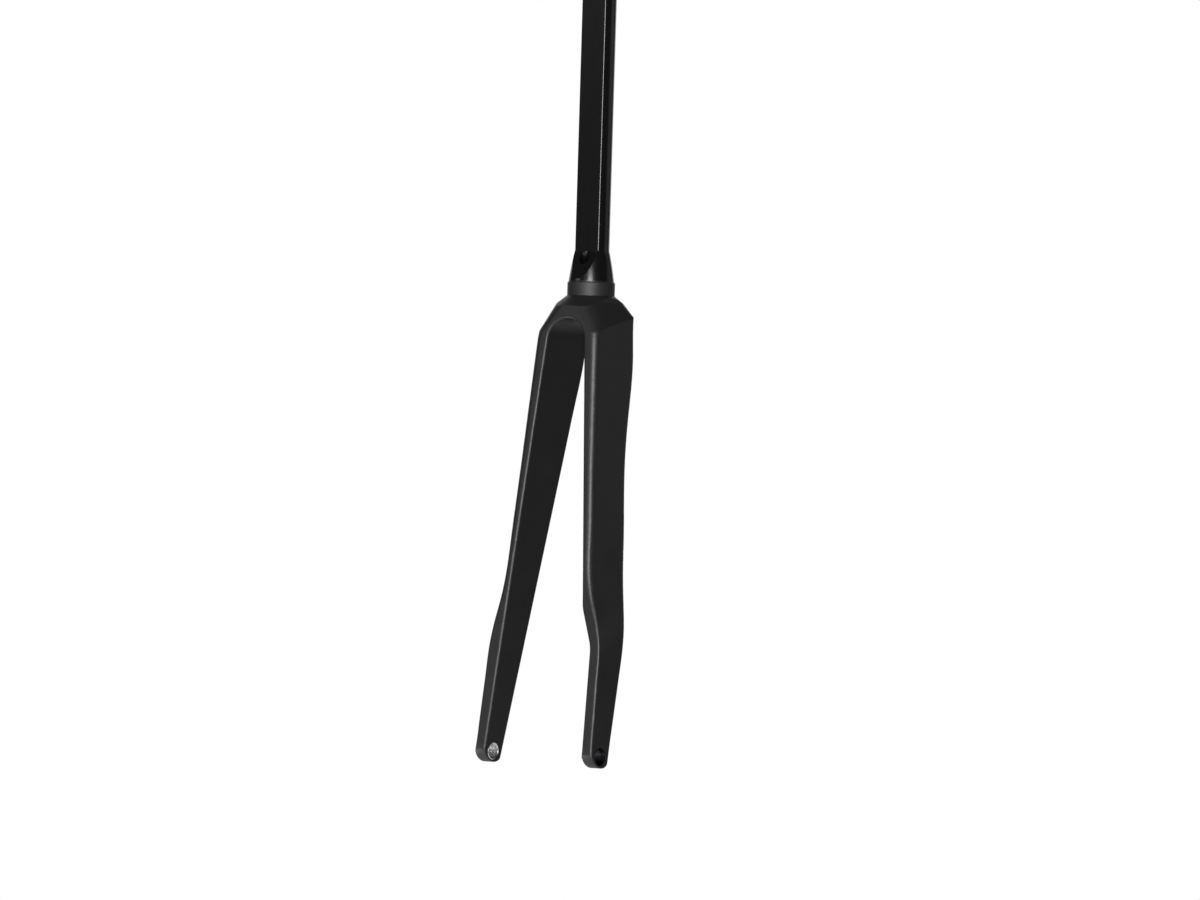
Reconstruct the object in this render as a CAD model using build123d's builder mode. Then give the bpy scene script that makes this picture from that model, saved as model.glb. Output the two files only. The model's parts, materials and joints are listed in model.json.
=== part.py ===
# Rigid bicycle fork for a disc brake: a moulded body with bonded metal inserts.
# Lengths are in millimetres. The origin is the middle of the lower bearing seat on the
# steering axis, +Z runs up the steerer, -Y points forward and +X is the rider's left.
import os
from math import atan, cos, hypot, radians, sin, tan

from build123d import *

os.makedirs("parts", exist_ok=True)

# Steerer tube with a flat front for the hoses
steerer_radius = 14.3
steerer_wall = 3.0
steerer_length = 300.0
steerer_flat = 7.8
steerer_corner = 1.3

# Lower bearing seat with the flare above it and the sloping race below it
seat_radius = 19.8
seat_height = 11.4
seat_chamfer = 0.8
race_slope = 38.5
flare_height = 26.0
flare_sag = 0.35
bore_floor = -8.0

# Ramp at the foot of the flat front and the hose port in it
ramp_reach = 11.6
port_drop = 6.0
port_radius = 4.7
port_tilt = 28.0

# Crown shoulders, from the rim under the race to the crease where the legs begin
rim_height = -11.6
rim_half_width = 22.0
rim_front_corner = 21.0
rim_rear_corner = 11.0
crease_height = -28.0
crown_foot = -50.0
crease_slope = 0.25
crown_rear = 23.4

# Wheel tunnel
arch_top = -25.5
tunnel_edge = 2.2
inner_half_width = 20.9

# Legs, measured at the height below the crown where they run straight
leg_height = -65.0
leg_thickness = 12.5
leg_front = 34.9
leg_rear = 20.8

# Kink where the legs thicken, sooner at the rear than at the front
kink_top = -236.0
kink_bottom = -300.0
rear_kink_top = -125.0
rear_kink_bottom = -310.0
thickness_above_kink = 7.6
thickness_below_kink = 13.0

# Step of the rider's left leg that clears the brake disc
step_top = -263.5
step_bottom = -295.0
step_bend = 30.0

# Corner radii of the leg section, and how many sections each stretch is drawn through
crease_corner = 8.5
crown_corner = 6.0
leg_corner = 4.5
rear_corner = 6.5
dropout_corner = 2.2
upper_sections = 5
kink_sections = 3
lower_sections = 5

# Dropouts and wheel axle
axle_drop = 385.0
axle_rake = 49.0
hub_width = 100.0
dropout_thickness = 10.8
tip_front = 12.0
tip_rear = 12.5
tip_drop = 9.5
tip_front_corner = 15.0
tip_rear_corner = 9.5
tip_spare = 0.8

# Axle sleeves bonded into the dropouts
sleeve_radius = 7.4
bond_gap = 0.1
thread_radius = 5.35
axle_radius = 6.05
sleeve_chamfer = 0.5
bush_step_radius = 6.7
bush_step_depth = 3.0

# Brake mount on the rear of the rider's left leg
brake_spacing = 70.0
brake_above_axle = 69.0
brake_inset = 4.2
insert_radius = 3.1
insert_depth = 12.0
insert_thread = 2.1

# Room for cuts that run past the body
clearance = 30.0


# Share of the way down between two heights, with a soft start and end
def eased(height, top, bottom):
    share = min(max((top - height) / (top - bottom), 0), 1)
    return share * share * (3 - 2 * share)


# Value at a height on the straight line between two heights
def along(height, top, bottom, at_top, at_bottom):
    return at_top + (at_bottom - at_top) * (top - height) / (top - bottom)


def inner_side(height):
    return along(height, leg_height, -axle_drop, inner_half_width, hub_width / 2)


def upper_outer(height):
    thickness = along(height, leg_height, kink_top, leg_thickness, thickness_above_kink)
    return inner_side(height) + thickness


def right_outer(height, top, bottom):
    thickness = along(height, kink_bottom, -axle_drop, thickness_below_kink, dropout_thickness)
    upper = upper_outer(height)
    return upper + (inner_side(height) + thickness - upper) * eased(height, top, bottom)


def left_outer(height, top, bottom):
    upper = upper_outer(height)
    return upper + (hub_width / 2 + dropout_thickness - upper) * eased(height, top, bottom)


def front_face(height):
    return -along(height, leg_height, -axle_drop, leg_front, axle_rake + tip_front)


def rear_face(height):
    if height > leg_height:
        return along(height, crease_height, leg_height, crown_rear, leg_rear)
    return along(height, leg_height, -axle_drop, leg_rear, tip_rear - axle_rake)


# Evenly spaced values from one value to just short of another
def stations(top, bottom, count):
    return [top + (bottom - top) * step / count for step in range(count)]


# Closed outline with its two front and two rear corners rounded
def rounded_outline(plane, corners, front_radius, back_radius):
    with BuildSketch(plane) as outline:
        with BuildLine():
            Polyline(*corners, close=True)
        make_face()
        fillet(outline.vertices().sort_by(Axis.Y)[:2], front_radius)
        fillet(outline.vertices().sort_by(Axis.Y)[-2:], back_radius)
    return outline.sketch


# Outline round both legs at a height
def leg_outline(height):
    corners = [
        (-right_outer(height, kink_top, kink_bottom), front_face(height)),
        (left_outer(height, kink_top, kink_bottom), front_face(height)),
        (left_outer(height, rear_kink_top, rear_kink_bottom), rear_face(height)),
        (-right_outer(height, rear_kink_top, rear_kink_bottom), rear_face(height)),
    ]
    slimming = eased(height, kink_top, kink_bottom)
    front_radius = along(max(height, kink_top), leg_height, kink_top, crown_corner, leg_corner)
    front_radius += (dropout_corner - front_radius) * slimming
    back_radius = rear_corner + (dropout_corner - rear_corner) * slimming
    return rounded_outline(Plane.XY.offset(height), corners, front_radius, back_radius)


# Fork body: steerer, seat, crown and legs moulded as one piece
seat_top = seat_height / 2
seat_bottom = -seat_height / 2
steerer_top = seat_bottom + steerer_length
flare_top = seat_top + flare_height
tip_bottom = -axle_drop - tip_drop
tip_top = clearance - axle_drop
loft_bottom = tip_bottom - 2 * tip_spare
wide = hub_width + clearance

rim_corners = [
    (-rim_half_width, front_face(rim_height)),
    (rim_half_width, front_face(rim_height)),
    (rim_half_width, crown_rear),
    (-rim_half_width, crown_rear),
]
rim_plane = Plane.XY.offset(rim_height)
rim_outline = rounded_outline(rim_plane, rim_corners, rim_front_corner, rim_rear_corner)

crease_stretch = hypot(1, crease_slope)
crease_plane = Plane((0, 0, crease_height), (1, 0, 0), (0, -crease_slope, 1))
crease_front_height = crease_height - crease_slope * leg_front
crease_rear_height = crease_height + crease_slope * crown_rear
crease_front = front_face(crease_front_height) * crease_stretch
crease_rear = crown_rear * crease_stretch
crease_corners = [
    (-upper_outer(crease_front_height), crease_front),
    (upper_outer(crease_front_height), crease_front),
    (upper_outer(crease_rear_height), crease_rear),
    (-upper_outer(crease_rear_height), crease_rear),
]
crease_outline = rounded_outline(crease_plane, crease_corners, crease_corner, rear_corner)

leg_heights = [crown_foot]
leg_heights += stations(leg_height, kink_top, upper_sections)
leg_heights += stations(kink_top, kink_bottom, kink_sections)
leg_heights += stations(kink_bottom, loft_bottom, lower_sections)
leg_heights += [loft_bottom]

cut_bottom = tip_bottom - clearance
splay = atan((hub_width / 2 - inner_half_width) / (axle_drop + leg_height))
arch_radius = inner_side(arch_top) * cos(splay) / (1 - sin(splay))
arch_foot = arch_top - arch_radius + arch_radius * sin(splay)

race_reach = hypot(leg_front, upper_outer(leg_height))
race_fall = (race_reach - seat_radius) * tan(radians(race_slope))

ramp_foot = seat_top + seat_chamfer
ramp_height = flare_top - ramp_foot
ramp_front = steerer_flat + ramp_reach

port_share = port_drop / ramp_height
port_point = (0, -steerer_flat - ramp_reach * port_share, flare_top - port_drop)
port_axis = (0, -sin(radians(port_tilt)), cos(radians(port_tilt)))
port_plane = Plane(port_point, (1, 0, 0), port_axis)

brake_height = brake_above_axle - axle_drop
brake_slope = (leg_rear + axle_rake - tip_rear) / (axle_drop + leg_height)
brake_point = (hub_width / 2 + brake_inset, rear_face(brake_height), brake_height)
brake_plane = Plane(brake_point, (1, 0, 0), (0, 1, -brake_slope))

with BuildPart() as fork_body:
    # Top of the crown, its shoulders and the two legs as one block
    extrude(rim_outline, amount=seat_bottom - rim_height)
    loft([rim_outline, crease_outline], ruled=True)
    loft([crease_outline] + [leg_outline(height) for height in leg_heights])

    # Wheel tunnel with its arch and the step for the brake disc
    with BuildSketch(Plane.XZ) as tunnel:
        with BuildLine():
            right_foot = (-inner_side(arch_foot), arch_foot)
            left_foot = (inner_side(arch_foot), arch_foot)
            Line((-inner_side(cut_bottom), cut_bottom), right_foot)
            ThreePointArc(right_foot, (0, arch_top), left_foot)
            Polyline(
                left_foot,
                (inner_side(step_top), step_top),
                (hub_width / 2, step_bottom),
                (hub_width / 2, cut_bottom),
                (-inner_side(cut_bottom), cut_bottom),
            )
        make_face()
        fillet(tunnel.vertices().filter_by_position(Axis.Y, step_bottom, step_top), step_bend)
    extrude(amount=wide, both=True, mode=Mode.SUBTRACT)
    rims = fork_body.edges(Select.LAST).filter_by(Axis.Y, reverse=True)
    fillet(rims.filter_by(Axis.X, reverse=True), tunnel_edge)

    # Rounded ends of the dropouts
    with BuildSketch(Plane.YZ) as tip_waste:
        with Locations((-axle_rake, -axle_drop)):
            Rectangle(wide, 2 * clearance)
        with BuildLine():
            Polyline(
                (front_face(tip_top) - tip_spare, tip_top),
                (front_face(tip_bottom) - tip_spare, tip_bottom),
                (rear_face(tip_bottom) + tip_spare, tip_bottom),
                (rear_face(tip_top) + tip_spare, tip_top),
                close=True,
            )
        make_face(mode=Mode.SUBTRACT)
        lowest = tip_waste.vertices().filter_by_position(Axis.Y, tip_bottom, tip_bottom)
        fillet(lowest.sort_by(Axis.X)[0], tip_front_corner)
        lowest = tip_waste.vertices().filter_by_position(Axis.Y, tip_bottom, tip_bottom)
        fillet(lowest.sort_by(Axis.X)[-1], tip_rear_corner)
    extrude(amount=wide, both=True, mode=Mode.SUBTRACT)

    # Sloping race round the bearing seat
    with BuildSketch(Plane.XZ) as race_waste:
        with BuildLine():
            Polyline(
                (seat_radius, seat_bottom),
                (race_reach, seat_bottom - race_fall),
                (race_reach, seat_top),
                (seat_radius, seat_top),
                close=True,
            )
        make_face()
    revolve(axis=Axis.Z, mode=Mode.SUBTRACT)

    # Bearing seat and flare, with a ramp cut into the front of the flare
    with BuildSketch(Plane.XZ) as seat_profile:
        with BuildLine():
            flare_start = (seat_radius - seat_chamfer, seat_top)
            flare_end = (steerer_radius, flare_top)
            Polyline(
                (0, bore_floor),
                (seat_radius, bore_floor),
                (seat_radius, seat_top - seat_chamfer),
                flare_start,
            )
            SagittaArc(flare_start, flare_end, -flare_sag)
            Polyline(flare_end, (0, flare_top), (0, bore_floor))
        make_face()
    revolve(axis=Axis.Z)
    with BuildSketch(Plane.YZ) as ramp_waste:
        with BuildLine():
            Polyline(
                (-steerer_flat, flare_top),
                (-ramp_front, ramp_foot),
                (-ramp_front - clearance, ramp_foot),
                (-ramp_front - clearance, flare_top + clearance),
                (-steerer_flat, flare_top + clearance),
                close=True,
            )
        make_face()
    extrude(amount=wide, both=True, mode=Mode.SUBTRACT)

    # Steerer with its flat front
    with BuildSketch(Plane.XY.offset(bore_floor)) as steerer_section:
        Circle(steerer_radius)
        with Locations((0, -steerer_flat)):
            Rectangle(wide, wide, align=(Align.CENTER, Align.MAX), mode=Mode.SUBTRACT)
        fillet(steerer_section.vertices().sort_by(Axis.Y)[:2], steerer_corner)
    extrude(amount=steerer_top - bore_floor)

    # Bore of the steerer
    with BuildSketch(Plane.XY.offset(steerer_top)) as bore:
        Circle(steerer_radius - steerer_wall)
        with Locations((0, steerer_wall - steerer_flat)):
            Rectangle(wide, wide, align=(Align.CENTER, Align.MAX), mode=Mode.SUBTRACT)
    extrude(amount=bore_floor - steerer_top, mode=Mode.SUBTRACT)

    # Hose port through the ramp into the bore
    with BuildSketch(port_plane):
        Circle(port_radius)
    extrude(amount=ramp_height, both=True, mode=Mode.SUBTRACT)

    # Bonding holes for the axle sleeves and the brake inserts
    with BuildSketch(Plane.YZ):
        with Locations((-axle_rake, -axle_drop)):
            Circle(sleeve_radius + bond_gap)
    extrude(amount=wide, both=True, mode=Mode.SUBTRACT)
    with BuildSketch(brake_plane):
        with GridLocations(0, brake_spacing, 1, 2):
            Circle(insert_radius + bond_gap)
    extrude(amount=insert_depth + bond_gap, both=True, mode=Mode.SUBTRACT)

fork_body.part.label = "fork_body"
export_step(fork_body.part, "parts/fork_body.step")

# Threaded sleeve for the axle in the rider's right dropout
right_face = -hub_width / 2
with BuildPart() as threaded_axle_insert:
    with BuildSketch(Plane.YZ.offset(right_face)):
        with Locations((-axle_rake, -axle_drop)):
            Circle(sleeve_radius)
            Circle(thread_radius, mode=Mode.SUBTRACT)
    extrude(amount=-dropout_thickness)
    chamfer(threaded_axle_insert.edges(), sleeve_chamfer)

threaded_axle_insert.part.label = "threaded_axle_insert"
export_step(threaded_axle_insert.part, "parts/threaded_axle_insert.step")

# Plain bush for the axle in the rider's left dropout
left_face = hub_width / 2
with BuildPart() as axle_bush:
    with BuildSketch(Plane.YZ.offset(left_face)):
        with Locations((-axle_rake, -axle_drop)):
            Circle(sleeve_radius)
            Circle(axle_radius, mode=Mode.SUBTRACT)
    extrude(amount=dropout_thickness)
    with BuildSketch(Plane.YZ.offset(left_face + dropout_thickness)):
        with Locations((-axle_rake, -axle_drop)):
            Circle(bush_step_radius)
    extrude(amount=-bush_step_depth, mode=Mode.SUBTRACT)
    outer_edges = axle_bush.edges().filter_by(GeomType.CIRCLE).group_by(SortBy.RADIUS)[-1]
    chamfer(outer_edges, sleeve_chamfer)

axle_bush.part.label = "axle_bush"
export_step(axle_bush.part, "parts/axle_bush.step")

# Two threaded inserts for the brake bolts
with BuildPart() as brake_mount_inserts:
    with BuildSketch(brake_plane):
        with GridLocations(0, brake_spacing, 1, 2):
            Circle(insert_radius)
            Circle(insert_thread, mode=Mode.SUBTRACT)
    extrude(amount=-insert_depth)

brake_mount_inserts.part.label = "brake_mount_inserts"
export_step(brake_mount_inserts.part, "parts/brake_mount_inserts.step")
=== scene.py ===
import json
from math import cos, pi, radians, sin

import bmesh
import bpy
from mathutils import Matrix, Vector


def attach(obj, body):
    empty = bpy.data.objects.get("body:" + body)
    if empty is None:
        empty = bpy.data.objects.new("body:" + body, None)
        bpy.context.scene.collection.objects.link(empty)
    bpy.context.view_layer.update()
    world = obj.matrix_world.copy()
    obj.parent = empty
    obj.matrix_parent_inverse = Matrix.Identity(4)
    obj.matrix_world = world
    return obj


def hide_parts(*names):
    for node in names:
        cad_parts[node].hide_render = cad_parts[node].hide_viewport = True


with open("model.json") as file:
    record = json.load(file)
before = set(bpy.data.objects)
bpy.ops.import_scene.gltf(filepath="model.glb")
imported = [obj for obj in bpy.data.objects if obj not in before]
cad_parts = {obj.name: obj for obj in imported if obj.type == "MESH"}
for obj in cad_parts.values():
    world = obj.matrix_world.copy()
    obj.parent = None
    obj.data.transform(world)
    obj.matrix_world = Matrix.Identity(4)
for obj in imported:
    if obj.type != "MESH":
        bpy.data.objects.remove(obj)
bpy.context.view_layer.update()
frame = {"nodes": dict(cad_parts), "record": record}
mounts = {mount["name"]: mount for mount in frame["record"]["mounts"]}
print("frame loaded:", sorted(frame["nodes"]))


def linkPiece(name, bm, material):
    mesh = bpy.data.meshes.new(name)
    bm.to_mesh(mesh)
    bm.free()
    mesh.materials.append(material)
    piece = bpy.data.objects.new(name, mesh)
    bpy.context.collection.objects.link(piece)
    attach(piece, "root")
    return piece


# round faces shade smoothly, edges past the angle stay crisp
def smoothByAngle(bm, angle):
    for face in bm.faces:
        face.smooth = True
        face.material_index = 0
    for edge in bm.edges:
        edge.smooth = edge.calc_face_angle(0) < radians(angle)


def newMaterial(name):
    material = bpy.data.materials.new(name)
    material.use_nodes = True
    nodes = material.node_tree.nodes
    return material, nodes, material.node_tree.links, nodes["Principled BSDF"]


def objectSpot(nodes):
    return nodes.new("ShaderNodeTexCoord").outputs["Object"]


# grain that both the moulding and the metal carry: the detail of each of its two layers
grainDetail = {
    "Fine": 4,
    "Cloud": 2,
}


def makeGrainGroup():
    group = bpy.data.node_groups.new("surfaceGrain", "ShaderNodeTree")
    group.interface.new_socket("Vector", in_out="INPUT", socket_type="NodeSocketVector")
    for layer in grainDetail:
        group.interface.new_socket(layer + " Scale", in_out="INPUT", socket_type="NodeSocketFloat")
        group.interface.new_socket(layer, in_out="OUTPUT", socket_type="NodeSocketFloat")
    nodes, links = group.nodes, group.links
    entry = nodes.new("NodeGroupInput")
    leave = nodes.new("NodeGroupOutput")
    for layer, detail in grainDetail.items():
        noise = nodes.new("ShaderNodeTexNoise")
        noise.inputs["Detail"].default_value = detail
        links.new(entry.outputs["Vector"], noise.inputs["Vector"])
        links.new(entry.outputs[layer + " Scale"], noise.inputs["Scale"])
        links.new(noise.outputs["Fac"], leave.inputs[layer])
    return group


grainGroup = makeGrainGroup()


def addGrain(nodes, links, vector, look):
    grain = nodes.new("ShaderNodeGroup")
    grain.node_tree = grainGroup
    grain.inputs["Fine Scale"].default_value = look["fineScale"]
    grain.inputs["Cloud Scale"].default_value = look["cloudScale"]
    links.new(vector, grain.inputs["Vector"])
    return grain


def addRange(nodes, links, value, low, high, start=0.0, end=1.0):
    span = nodes.new("ShaderNodeMapRange")
    span.inputs["From Min"].default_value = start
    span.inputs["From Max"].default_value = end
    span.inputs["To Min"].default_value = low
    span.inputs["To Max"].default_value = high
    links.new(value, span.inputs["Value"])
    return span.outputs["Result"]


def addTones(nodes, links, factor, tones):
    tone = nodes.new("ShaderNodeMix")
    tone.data_type = "RGBA"
    tone.inputs["A"].default_value, tone.inputs["B"].default_value = tones
    links.new(factor, tone.inputs["Factor"])
    return tone.outputs["Result"]


# goes from the first to the second where the mask does, for colours or for plain values
def addBlend(nodes, links, kind, mask, first, second):
    blend = nodes.new("ShaderNodeMix")
    blend.data_type = kind
    links.new(mask, blend.inputs["Factor"])
    links.new(first, blend.inputs["A"])
    links.new(second, blend.inputs["B"])
    return blend.outputs["Result"]


def addBump(nodes, links, height, strength, distance):
    bump = nodes.new("ShaderNodeBump")
    bump.inputs["Strength"].default_value = strength
    bump.inputs["Distance"].default_value = distance
    links.new(height, bump.inputs["Height"])
    return bump.outputs["Normal"]


# satin black moulding, darker and glossier on the steerer and its flare, duller on the bearing seat
mouldedFibre = {
    "legTones": ((0.012, 0.012, 0.0124, 1), (0.017, 0.017, 0.0176, 1)),
    "steererTones": ((0.003, 0.003, 0.0032, 1), (0.006, 0.006, 0.0063, 1)),
    "legRoughness": (0.40, 0.46),
    "steererRoughness": (0.19, 0.24),
    "steererFoot": (0.0055, 0.0070),  # heights between which the legs' finish turns into the steerer's
    "seatRoughness": (0.50, 0.58),
    "seatHalf": 0.0056,
    "specular": 0.7,
    "fineScale": 900,
    "cloudScale": 35,
    "fibreStretch": (1400, 1400, 30),
    "bump": (0.05, 0.0002),  # strength, metres
}


def makeMouldedFibre():
    look = mouldedFibre
    material, nodes, links, shader = newMaterial("satin_moulded_fibre")
    spot = objectSpot(nodes)
    grain = addGrain(nodes, links, spot, look)
    fine, cloud = grain.outputs["Fine"], grain.outputs["Cloud"]
    parts = nodes.new("ShaderNodeSeparateXYZ")
    links.new(spot, parts.inputs["Vector"])
    onSteerer = addRange(nodes, links, parts.outputs["Z"], 0, 1, *look["steererFoot"])
    onSeat = nodes.new("ShaderNodeMath")
    onSeat.operation = "COMPARE"
    onSeat.inputs[1].default_value = mounts["lower_bearing_seat"]["pos_m"][2]
    onSeat.inputs[2].default_value = look["seatHalf"]
    links.new(parts.outputs["Z"], onSeat.inputs[0])

    # long streaks up the steerer
    stretch = nodes.new("ShaderNodeMapping")
    stretch.inputs["Scale"].default_value = look["fibreStretch"]
    links.new(spot, stretch.inputs["Vector"])
    fibre = nodes.new("ShaderNodeTexNoise")
    fibre.inputs["Scale"].default_value = 1
    links.new(stretch.outputs["Vector"], fibre.inputs["Vector"])
    streak = fibre.outputs["Fac"]

    legTone = addTones(nodes, links, cloud, look["legTones"])
    steererTone = addTones(nodes, links, streak, look["steererTones"])
    tone = addBlend(nodes, links, "RGBA", onSteerer, legTone, steererTone)
    links.new(tone, shader.inputs["Base Color"])

    legRough = addRange(nodes, links, cloud, *look["legRoughness"])
    steererRough = addRange(nodes, links, streak, *look["steererRoughness"])
    seatRough = addRange(nodes, links, fine, *look["seatRoughness"])
    rough = addBlend(nodes, links, "FLOAT", onSteerer, legRough, steererRough)
    rough = addBlend(nodes, links, "FLOAT", onSeat.outputs["Value"], rough, seatRough)
    links.new(rough, shader.inputs["Roughness"])
    links.new(addBump(nodes, links, fine, *look["bump"]), shader.inputs["Normal"])
    shader.inputs["Specular IOR Level"].default_value = look["specular"]
    return material


# turned metal with fine rings round the axle line
turnedMetal = {
    "bareTones": ((0.72, 0.72, 0.73, 1), (0.86, 0.86, 0.87, 1)),
    "bareRoughness": (0.20, 0.32),
    "blackTones": ((0.030, 0.030, 0.033, 1), (0.050, 0.050, 0.055, 1)),
    "blackRoughness": (0.32, 0.45),
    "ringScale": 900,
    "ringWobble": 0.6,
    "fineScale": 1500,
    "cloudScale": 120,
    "bump": (0.06, 0.0001),  # strength, metres
}


def makeTurnedMetal(name, tones, roughness):
    look = turnedMetal
    material, nodes, links, shader = newMaterial(name)
    spot = objectSpot(nodes)
    grain = addGrain(nodes, links, spot, look)
    place = nodes.new("ShaderNodeMapping")
    place.inputs["Location"].default_value = [-part for part in mounts["axle_bore"]["pos_m"]]
    links.new(spot, place.inputs["Vector"])
    rings = nodes.new("ShaderNodeTexWave")
    rings.wave_type = "RINGS"
    rings.rings_direction = "X"
    rings.inputs["Scale"].default_value = look["ringScale"]
    rings.inputs["Distortion"].default_value = look["ringWobble"]
    links.new(place.outputs["Vector"], rings.inputs["Vector"])
    ring = rings.outputs["Fac"]
    links.new(addTones(nodes, links, grain.outputs["Cloud"], tones), shader.inputs["Base Color"])
    links.new(addRange(nodes, links, ring, *roughness), shader.inputs["Roughness"])
    links.new(addBump(nodes, links, ring, *look["bump"]), shader.inputs["Normal"])
    shader.inputs["Metallic"].default_value = 1
    return material


fibreBlack = makeMouldedFibre()
bareAluminium = makeTurnedMetal("bare_turned_aluminium", turnedMetal["bareTones"],
                                turnedMetal["bareRoughness"])
blackAnodised = makeTurnedMetal("black_anodised_aluminium", turnedMetal["blackTones"],
                                turnedMetal["blackRoughness"])
print("materials ready")

# skin of the moulded body, from the solid's own mesh and normals
bodySkin = {
    "mergeGap": 1e-6,
    "sharpAngle": 34,
    "tipTop": -0.3785,  # below this the ends of the legs have softened edges
    "tipRound": 0.0008,
    "tipSegments": 4,
    "tipMerge": 0.0005,  # shorter edges on the outline are closed up before it is eased
    "boreClear": 0.0084,
    # height and reach of bends that shade softly, and the sides that stay flat there
    "softBends": (
        (0.0310, 0.0065, ((0, -1, 0),)),
        (-0.3790, 0.0100, ((1, 0, 0), (-1, 0, 0))),
    ),
    "flatFacing": 0.93,  # cosine within which a face counts as one of those sides
    "bandInside": 0.99,  # share of the reach, so that the corners on the cuts keep their normals
}
noNormal = (0, 0, 0)  # a corner marked so gets its normal worked out anew


# the outline of each dropout is eased, its bore stays crisp
def roundTips(bm, normalLayer):
    axle = Vector(mounts["axle_bore"]["pos_m"]).yz

    def onOutline(edge):
        low = all(vert.co.z < bodySkin["tipTop"] for vert in edge.verts)
        clear = all((vert.co.yz - axle).length > bodySkin["boreClear"] for vert in edge.verts)
        return low and clear and edge.calc_face_angle(0) > radians(bodySkin["sharpAngle"])

    crowded = {vert for edge in bm.edges if onOutline(edge) for vert in edge.verts}
    bmesh.ops.remove_doubles(bm, verts=list(crowded), dist=bodySkin["tipMerge"])
    rims = [edge for edge in bm.edges if onOutline(edge)]
    eased = bmesh.ops.bevel(bm, geom=rims, offset=bodySkin["tipRound"], segments=bodySkin["tipSegments"],
                            profile=0.5, affect="EDGES", material=-1)
    for face in eased["faces"]:
        for loop in face.loops:
            loop[normalLayer] = noNormal
    print("tip edges eased:", len(rims))


# cuts a band round a bend, so that its shading turns softly there and nowhere else
def softenBend(bm, normalLayer, height, reach, flatSides):
    for cut in (height - reach, height + reach):
        everything = bm.verts[:] + bm.edges[:] + bm.faces[:]
        bmesh.ops.bisect_plane(bm, geom=everything, plane_co=(0, 0, cut), plane_no=(0, 0, 1))
    inside = bodySkin["bandInside"] * reach
    sides = [Vector(side) for side in flatSides]
    for face in bm.faces:
        if max(face.normal.dot(side) for side in sides) >= bodySkin["flatFacing"]:
            continue
        for loop in face.loops:
            if abs(loop.vert.co.z - height) < inside:
                loop[normalLayer] = noNormal


def makeForkSkin():
    source = frame["nodes"]["fork_body"].data
    bm = bmesh.new()
    bm.from_mesh(source)
    normalLayer = bm.loops.layers.float_vector.new("solid_normal")
    for face in bm.faces:
        for loop, corner in zip(face.loops, source.polygons[face.index].loop_indices):
            loop[normalLayer] = source.corner_normals[corner].vector
    bmesh.ops.remove_doubles(bm, verts=bm.verts, dist=bodySkin["mergeGap"])
    roundTips(bm, normalLayer)
    for bend in bodySkin["softBends"]:
        softenBend(bm, normalLayer, *bend)
    smoothByAngle(bm, bodySkin["sharpAngle"])
    skin = linkPiece("fork_skin", bm, fibreBlack)
    # the kept normals go from the layer to the mesh, in place of those that came with the copy
    layers = skin.data.attributes
    normals = [tuple(item.vector) for item in layers["solid_normal"].data]
    layers.remove(layers["solid_normal"])
    layers.remove(layers["custom_normal"])
    skin.data.normals_split_custom_set(normals)
    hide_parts("fork_body")
    return skin


forkSkin = makeForkSkin()
print("fork skin:", len(forkSkin.data.polygons), "faces")

bush = frame["nodes"]["axle_bush"]
bush.data.materials.clear()
bush.data.materials.append(blackAnodised)
print("axle bush dressed")

# turned sleeves with a real thread standing in the bore
axleSleeve = {
    "mounts": ("axle_thread",),
    "outerRadius": 0.0074,
    "length": 0.0108,
    "chamfer": 0.0005,
    "pitch": 0.0015,
    "threadDepth": 0.0007,
    "roundSteps": 72,
    "sharpAngle": 30,
}
brakeSleeves = {
    "mounts": ("brake_thread_upper", "brake_thread_lower"),
    "outerRadius": 0.0031,
    "length": 0.012,
    "chamfer": 0.0002,
    "pitch": 0.0008,
    "threadDepth": 0.0004,
    "roundSteps": 40,
    "sharpAngle": 30,
}
threadShape = ((-0.47, 0), (-0.08, 1), (0.08, 1), (0.47, 0))  # pitches along, share of the depth


def addRing(bm, look, boreRadius):
    half, cut, outer = look["length"] / 2, look["chamfer"], look["outerRadius"]
    nearEnd = [(half - cut, boreRadius), (half, boreRadius + cut), (half, outer - cut), (half - cut, outer)]
    farEnd = [(-along, out) for along, out in reversed(nearEnd)]
    corners = [bm.verts.new((along, 0, out)) for along, out in nearEnd + farEnd]
    sides = [bm.edges.new((corners[step - 1], corner)) for step, corner in enumerate(corners)]
    bmesh.ops.spin(bm, geom=corners + sides, cent=(0, 0, 0), axis=(1, 0, 0), dvec=(0, 0, 0),
                   angle=2 * pi, steps=look["roundSteps"], use_merge=True)


def addThread(bm, look, boreRadius):
    pitch, steps = look["pitch"], look["roundSteps"]
    turns = int(look["length"] / pitch) - 1
    root = boreRadius + look["chamfer"] / 2  # sunk a little into the wall
    crest = boreRadius - look["threadDepth"]
    start = -turns * pitch / 2
    outline = [(start + along * pitch, 0, root + (crest - root) * share) for along, share in threadShape]
    ridge = bm.faces.new([bm.verts.new(corner) for corner in outline])
    bmesh.ops.spin(bm, geom=ridge.verts[:] + ridge.edges[:] + [ridge], cent=(0, 0, 0), axis=(1, 0, 0),
                   dvec=(pitch / steps, 0, 0), angle=2 * pi * turns, steps=steps * turns, use_merge=False)
    openEnds = [edge for edge in bm.edges if edge.is_boundary]
    bmesh.ops.holes_fill(bm, edges=openEnds, sides=len(threadShape))


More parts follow.
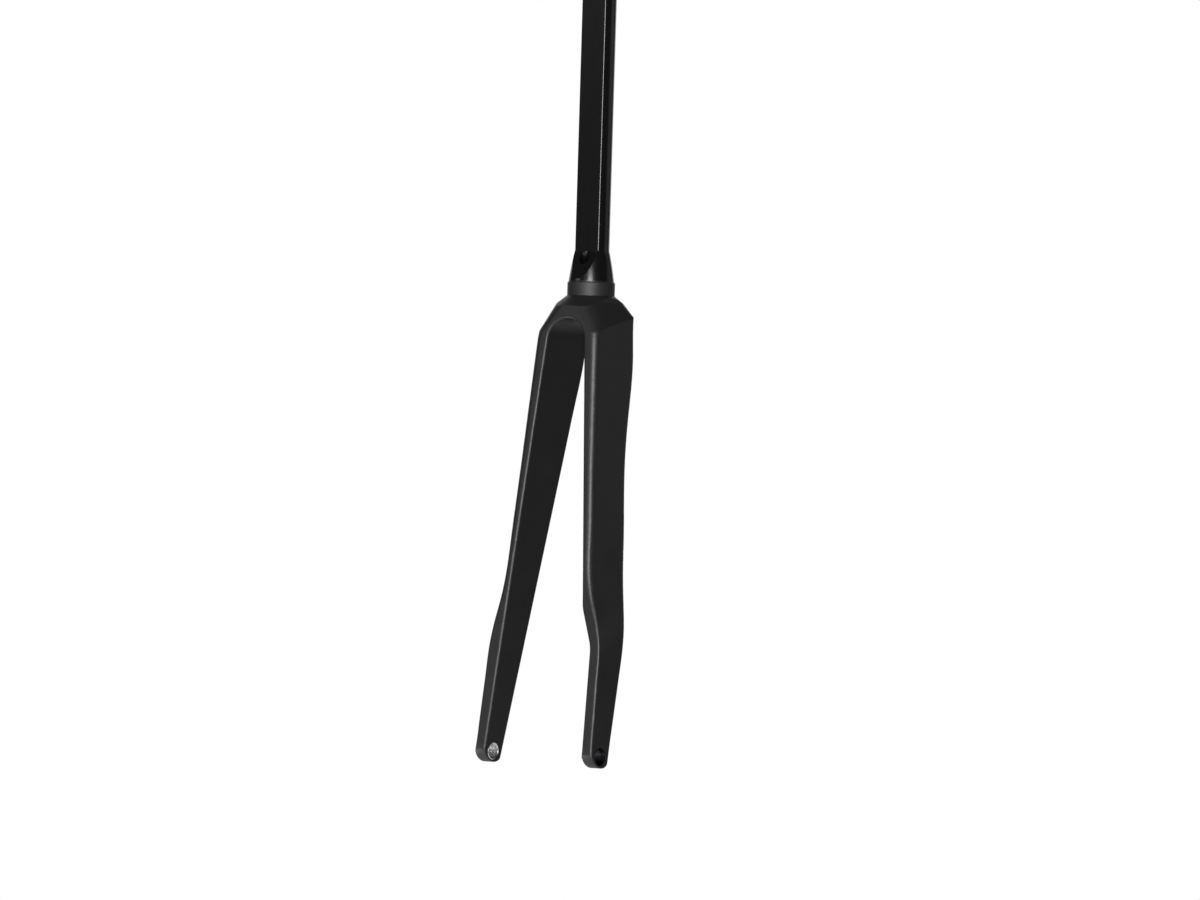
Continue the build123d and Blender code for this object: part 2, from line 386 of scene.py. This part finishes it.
def makeSleeves(name, look, nodeName, material):
    bm = bmesh.new()
    for mountName in look["mounts"]:
        mount = mounts[mountName]
        boreRadius = mount["dims"]["r_mm"] / 1000 + look["threadDepth"]
        sleeve = bmesh.new()
        addRing(sleeve, look, boreRadius)
        addThread(sleeve, look, boreRadius)
        bmesh.ops.recalc_face_normals(sleeve, faces=sleeve.faces)
        turn = Vector((1, 0, 0)).rotation_difference(Vector(mount["axis"])).to_matrix().to_4x4()
        sleeve.transform(Matrix.Translation(mount["pos_m"]) @ turn)
        loose = bpy.data.meshes.new("sleeve")
        sleeve.to_mesh(loose)
        sleeve.free()
        bm.from_mesh(loose)
        bpy.data.meshes.remove(loose)
    smoothByAngle(bm, look["sharpAngle"])
    piece = linkPiece(name, bm, material)
    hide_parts(nodeName)
    print(name + ":", len(piece.data.polygons), "faces")


makeSleeves("axle_thread_sleeve", axleSleeve, "threaded_axle_insert", bareAluminium)
makeSleeves("brake_thread_sleeves", brakeSleeves, "brake_mount_inserts", blackAnodised)

# camera at the photograph's angle, far off so that lines stay nearly parallel
camera = {
    "azimuth": 37.3,
    "roll": 1.70,
    "distance": 6.0,
    "frameWidth": 0.996,  # metres across the picture at the fork
    "aim": (0.00903, 0.00688, -0.13335),
    "sensorWidth": 36,
    "clipEnd": 100,
}


def makeCamera():
    turn, tilt = radians(camera["azimuth"]), radians(camera["roll"])
    back = Vector((sin(turn), -cos(turn), 0))
    side = Vector((cos(turn), sin(turn), 0))
    right = side * cos(tilt) + Vector((0, 0, sin(tilt)))
    up = -side * sin(tilt) + Vector((0, 0, cos(tilt)))
    data = bpy.data.cameras.new("photo_camera")
    data.sensor_width = camera["sensorWidth"]
    data.lens = data.sensor_width * camera["distance"] / camera["frameWidth"]
    data.clip_end = camera["clipEnd"]
    rig = bpy.data.objects.new("photo_camera", data)
    bpy.context.collection.objects.link(rig)
    place = Vector(camera["aim"]) + back * camera["distance"]
    rig.matrix_world = Matrix.Translation(place) @ Matrix((right, up, back)).transposed().to_4x4()
    bpy.context.scene.camera = rig


makeCamera()
print("camera placed")

# soft studio: panels round the camera draw the corner lights, the far one lies on faces that look ahead
studio = {
    # name, degrees round from straight ahead, degrees up, metres away, width and height, watts
    "panels": (
        ("wide_panel", 28, 6, 3.0, (3.0, 1.2), 17),
        ("edge_panel", 31, 8, 3.0, (1.1, 1.2), 52),
        ("low_panel", 5, -12, 3.0, (1.6, 0.8), 14),
        ("front_panel", -37, 15, 8.0, (3.0, 1.1), 17),
        ("side_panel", 143, 10, 3.0, (1.6, 0.8), 1),
        ("bounce_panel", -65, -38, 0.95, (0.8, 0.5), 2),
    ),
    "ambient": 0.25,  # what the room lends to diffuse light
    "roomGloss": 0.03,  # the room in reflections, away from the backdrop
    "backdropAngles": (45, 25),  # degrees from straight behind the fork, where the white fades out
    "floorHeight": -0.85,
    "floorSize": 1.0,
    "floorTone": (0.86, 0.86, 0.86, 1),
    "floorRoughness": 0.9,
    "floorGlow": 0.9,  # share of plain white where the floor is seen, the rest shows the shadow
    "floorGloss": 0.2,
    "floorStrength": 1.08,
}


def addPanel(name, azimuth, elevation, distance, size, power):
    data = bpy.data.lights.new(name, "AREA")
    data.shape = "RECTANGLE"
    data.size, data.size_y = size
    data.energy = power
    lamp = bpy.data.objects.new(name, data)
    bpy.context.collection.objects.link(lamp)
    turn, rise = radians(azimuth), radians(elevation)
    way = Vector((sin(turn) * cos(rise), -cos(turn) * cos(rise), sin(rise)))
    lamp.location = Vector(camera["aim"]) + way * distance
    lamp.rotation_euler = way.to_track_quat("Z", "Y").to_euler()


# the second term is a socket or a plain number
def addMath(nodes, links, operation, first, second):
    step = nodes.new("ShaderNodeMath")
    step.operation = operation
    links.new(first, step.inputs[0])
    if isinstance(second, float):
        step.inputs[1].default_value = second
    else:
        links.new(second, step.inputs[1])
    return step.outputs["Value"]


# 1 for what the camera and glass see, gloss for what reflections see, 0 for what only lights the fork
def seenDirectly(nodes, links, path, gloss):
    seen = addMath(nodes, links, "MULTIPLY", path.outputs["Is Glossy Ray"], gloss)
    for ray in ("Is Transmission Ray", "Is Camera Ray"):
        seen = addMath(nodes, links, "MAXIMUM", seen, path.outputs[ray])
    return seen


# white straight behind the fork, dim elsewhere in reflections
def makeWorld():
    world = bpy.data.worlds.new("studio_world")
    bpy.context.scene.world = world
    world.use_nodes = True
    nodes, links = world.node_tree.nodes, world.node_tree.links
    sky = nodes["Background"]
    sky.inputs["Color"].default_value = (1, 1, 1, 1)
    way = nodes.new("ShaderNodeTexCoord")
    behind = nodes.new("ShaderNodeVectorMath")
    behind.operation = "DOT_PRODUCT"
    turn = radians(camera["azimuth"])
    behind.inputs[1].default_value = (-sin(turn), cos(turn), 0)
    links.new(way.outputs["Generated"], behind.inputs[0])
    edges = [cos(radians(angle)) for angle in studio["backdropAngles"]]
    wall = addRange(nodes, links, behind.outputs["Value"], studio["roomGloss"], 1, *edges)
    path = nodes.new("ShaderNodeLightPath")
    seen = seenDirectly(nodes, links, path, wall)
    lit = addRange(nodes, links, path.outputs["Is Diffuse Ray"], 0, studio["ambient"])
    links.new(addMath(nodes, links, "MAXIMUM", seen, lit), sky.inputs["Strength"])


def makeFloor():
    bm = bmesh.new()
    bmesh.ops.create_grid(bm, x_segments=1, y_segments=1, size=studio["floorSize"])
    bmesh.ops.translate(bm, verts=bm.verts, vec=(0, 0, studio["floorHeight"]))
    mesh = bpy.data.meshes.new("studio_floor")
    bm.to_mesh(mesh)
    bm.free()
    floor = bpy.data.objects.new("studio_floor", mesh)
    bpy.context.collection.objects.link(floor)
    material, nodes, links, shader = newMaterial("pale_floor")
    shader.inputs["Base Color"].default_value = studio["floorTone"]
    shader.inputs["Roughness"].default_value = studio["floorRoughness"]
    glow = nodes.new("ShaderNodeEmission")
    glow.inputs["Strength"].default_value = studio["floorStrength"]
    path = nodes.new("ShaderNodeLightPath")
    seen = seenDirectly(nodes, links, path, studio["floorGloss"])
    mix = nodes.new("ShaderNodeMixShader")
    links.new(addRange(nodes, links, seen, 0, studio["floorGlow"]), mix.inputs["Fac"])
    links.new(shader.outputs["BSDF"], mix.inputs[1])
    links.new(glow.outputs["Emission"], mix.inputs[2])
    links.new(mix.outputs["Shader"], nodes["Material Output"].inputs["Surface"])
    mesh.materials.append(material)


for panel in studio["panels"]:
    addPanel(*panel)
makeWorld()
makeFloor()
bpy.context.scene.view_settings.view_transform = "Standard"
print("studio lit")
